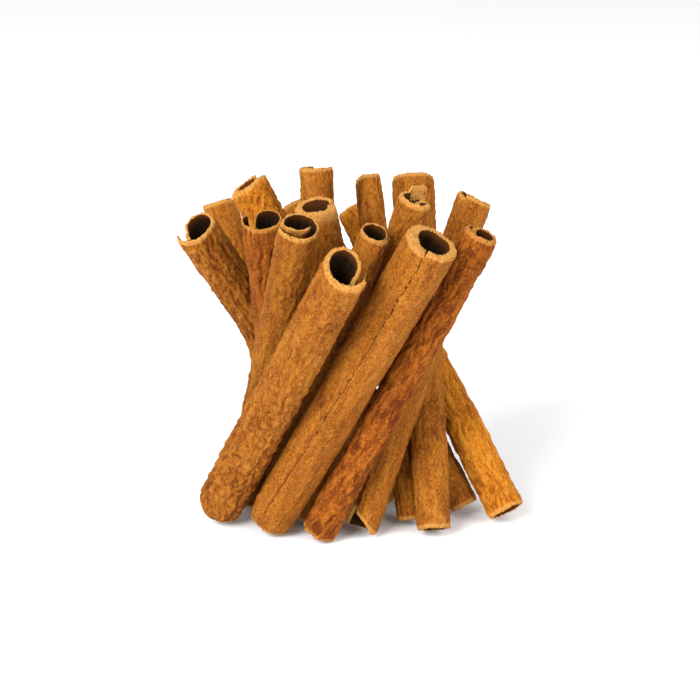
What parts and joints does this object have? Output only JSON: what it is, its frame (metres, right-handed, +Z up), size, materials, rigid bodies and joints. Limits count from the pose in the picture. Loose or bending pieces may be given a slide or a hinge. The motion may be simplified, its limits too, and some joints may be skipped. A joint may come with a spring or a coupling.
{
  "type": "cinnamon stick stack",
  "caption": "Stack of cinnamon sticks stood on end and leaning together in a twisted sheaf, each a curled strip of cassia bark.",
  "frame": {"origin": "on the floor, under the middle of the sheaf's outer box", "axes": "+Z up, -Y towards the front, where the five thick sticks cross leaning right, +X to the right seen from the front"},
  "size_m": [0.0768, 0.0858, 0.0807],
  "materials": {
    "bark_tan": "dry cassia bark, matt, ridged lengthways",
    "bark_brown": "redder dry bark, matt",
    "bark_orange": "orange dry bark with a wavy grain, matt",
    "bark_ochre": "paler dry bark, matt"
  },
  "bodies": {
    "root": {"stick_01": "bark_tan", "stick_02": "bark_tan", "stick_03": "bark_brown", "stick_04": "bark_tan", "stick_05": "bark_tan", "stick_06": "bark_tan", "stick_07": "bark_tan", "stick_08": "bark_tan", "stick_09": "bark_ochre", "stick_10": "bark_brown", "stick_11": "bark_tan", "stick_12": "bark_tan", "stick_13": "bark_orange", "stick_14": "bark_tan", "stick_15": "bark_orange", "stick_16": "bark_tan", "stick_17": "bark_tan", "stick_18": "bark_tan"}
  },
  "joints": []
}
